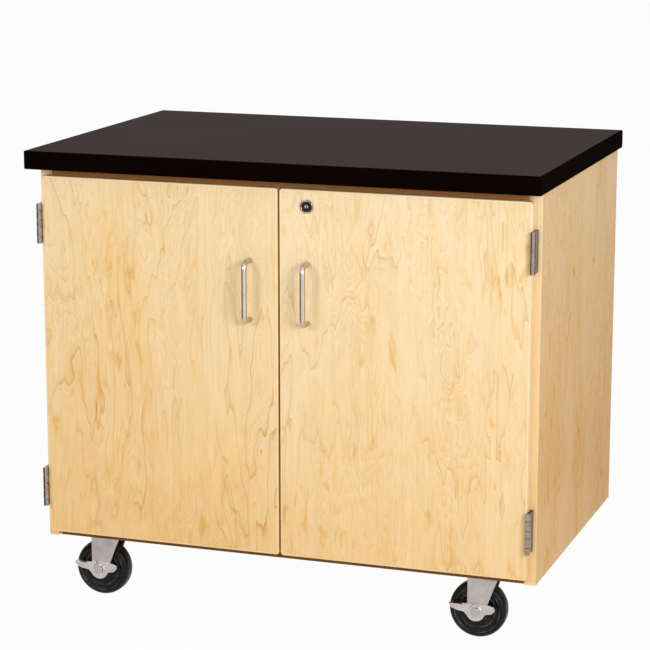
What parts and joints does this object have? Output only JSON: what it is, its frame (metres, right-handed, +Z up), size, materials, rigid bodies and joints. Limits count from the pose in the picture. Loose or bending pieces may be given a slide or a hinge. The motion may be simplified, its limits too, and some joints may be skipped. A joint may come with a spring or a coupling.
{
  "type": "mobile storage cabinet",
  "caption": "Low wooden storage cabinet on swivel casters with a dark worktop, a pair of hinged doors, wire pulls, a cam lock and an adjustable shelf inside.",
  "frame": {"origin": "on the floor under the middle of the overall box", "axes": "+X to the right of someone facing the doors, +Y to the back, +Z up"},
  "size_m": [0.9144, 0.6154, 0.8285],
  "materials": {
    "worktop_laminate": "satin",
    "maple": "satin lacquer",
    "back_ply": "satin lacquer",
    "hinge_steel": "dull plated",
    "screw_steel": "zinc plated",
    "pull_metal": "satin",
    "lock_metal": "satin nickel",
    "catch_plastic": "matt",
    "zinc": "bright zinc plate",
    "wheel_rubber": "matt"
  },
  "bodies": {
    "cabinet": {"worktop_board": "worktop_laminate", "worktop_edge_band": "worktop_laminate", "left_side_panel": "maple", "right_side_panel": "maple", "bottom_panel": "maple", "back_panel": "back_ply", "top_front_rail": "maple", "top_rear_rail": "maple", "carcass_edge_bands": "maple", "shelf": "maple", "shelf_pins": "screw_steel", "left_upper_frame_leaf": "hinge_steel", "left_lower_frame_leaf": "hinge_steel", "right_upper_frame_leaf": "hinge_steel", "right_lower_frame_leaf": "hinge_steel", "hinge_pins": "hinge_steel", "frame_hinge_screws": "screw_steel", "lock_strike": "lock_metal", "elbow_strike": "lock_metal", "magnetic_catch": "catch_plastic", "front_left_caster_plate": "zinc", "front_right_caster_plate": "zinc", "rear_left_caster_plate": "zinc", "rear_right_caster_plate": "zinc", "caster_kingpins": "zinc", "caster_bolts": "screw_steel"},
    "left_door": {"left_door_panel": "maple", "left_door_edge_band": "maple", "left_upper_door_leaf": "hinge_steel", "left_lower_door_leaf": "hinge_steel", "left_door_screws": "screw_steel", "left_pull": "pull_metal", "elbow_bracket": "lock_metal"},
    "elbow_catch": {"elbow_lever": "lock_metal"},
    "right_door": {"right_door_panel": "maple", "right_door_edge_band": "maple", "right_upper_door_leaf": "hinge_steel", "right_lower_door_leaf": "hinge_steel", "right_door_screws": "screw_steel", "right_pull": "pull_metal", "lock_cylinder": "lock_metal", "lock_nut": "lock_metal", "catch_keeper": "lock_metal"},
    "lock_core": {"lock_plug": "lock_metal", "lock_cam": "lock_metal"},
    "front_left_swivel": {"front_left_fork": "zinc", "front_left_axle": "zinc"},
    "front_left_roller": {"front_left_wheel": "wheel_rubber"},
    "front_left_brake": {"front_left_brake_lever": "zinc"},
    "front_right_swivel": {"front_right_fork": "zinc", "front_right_axle": "zinc"},
    "front_right_roller": {"front_right_wheel": "wheel_rubber"},
    "front_right_brake": {"front_right_brake_lever": "zinc"},
    "rear_left_swivel": {"rear_left_fork": "zinc", "rear_left_axle": "zinc"},
    "rear_left_roller": {"rear_left_wheel": "wheel_rubber"},
    "rear_right_swivel": {"rear_right_fork": "zinc", "rear_right_axle": "zinc"},
    "rear_right_roller": {"rear_right_wheel": "wheel_rubber"}
  },
  "joints": [
    {"name": "left_door_swing", "type": "hinge", "parent": "cabinet", "child": "left_door", "pos_m": [-0.4397, -0.28127, 0.60675], "axis": [0, 0, -1], "range_deg": [0, 250]},
    {"name": "right_door_swing", "type": "hinge", "parent": "cabinet", "child": "right_door", "pos_m": [0.4397, -0.28127, 0.60675], "axis": [0, 0, 1], "range_deg": [0, 250]},
    {"name": "elbow_catch_press", "type": "hinge", "parent": "left_door", "child": "elbow_catch", "pos_m": [-0.075, -0.24793, 0.75645], "axis": [1, 0, 0], "range_deg": [-8, 9]},
    {"name": "lock_turn", "type": "hinge", "parent": "right_door", "child": "lock_core", "pos_m": [0.0508, -0.27592, 0.75475], "axis": [0, -1, 0], "range_deg": [0, 90]},
    {"name": "front_left_swivel_turn", "type": "hinge", "parent": "cabinet", "child": "front_left_swivel", "pos_m": [-0.3542, -0.16592, 0.1178], "axis": [0, 0, 1], "continuous": true},
    {"name": "front_left_wheel_spin", "type": "hinge", "parent": "front_left_swivel", "child": "front_left_roller", "pos_m": [-0.3812, -0.16592, 0.0508], "axis": [0, 1, 0], "continuous": true},
    {"name": "front_left_brake_press", "type": "hinge", "parent": "front_left_swivel", "child": "front_left_brake", "pos_m": [-0.3812, -0.16592, 0.0508], "axis": [0, -1, 0], "range_deg": [0, 18]},
    {"name": "front_right_swivel_turn", "type": "hinge", "parent": "cabinet", "child": "front_right_swivel", "pos_m": [0.3542, -0.16592, 0.1178], "axis": [0, 0, 1], "continuous": true},
    {"name": "front_right_wheel_spin", "type": "hinge", "parent": "front_right_swivel", "child": "front_right_roller", "pos_m": [0.3272, -0.16592, 0.0508], "axis": [0, 1, 0], "continuous": true},
    {"name": "front_right_brake_press", "type": "hinge", "parent": "front_right_swivel", "child": "front_right_brake", "pos_m": [0.3272, -0.16592, 0.0508], "axis": [0, -1, 0], "range_deg": [0, 18]},
    {"name": "rear_left_swivel_turn", "type": "hinge", "parent": "cabinet", "child": "rear_left_swivel", "pos_m": [-0.3542, 0.21968, 0.1178], "axis": [0, 0, 1], "continuous": true},
    {"name": "rear_left_wheel_spin", "type": "hinge", "parent": "rear_left_swivel", "child": "rear_left_roller", "pos_m": [-0.3812, 0.21968, 0.0508], "axis": [0, 1, 0], "continuous": true},
    {"name": "rear_right_swivel_turn", "type": "hinge", "parent": "cabinet", "child": "rear_right_swivel", "pos_m": [0.3542, 0.21968, 0.1178], "axis": [0, 0, 1], "continuous": true},
    {"name": "rear_right_wheel_spin", "type": "hinge", "parent": "rear_right_swivel", "child": "rear_right_roller", "pos_m": [0.3272, 0.21968, 0.0508], "axis": [0, 1, 0], "continuous": true}
  ]
}
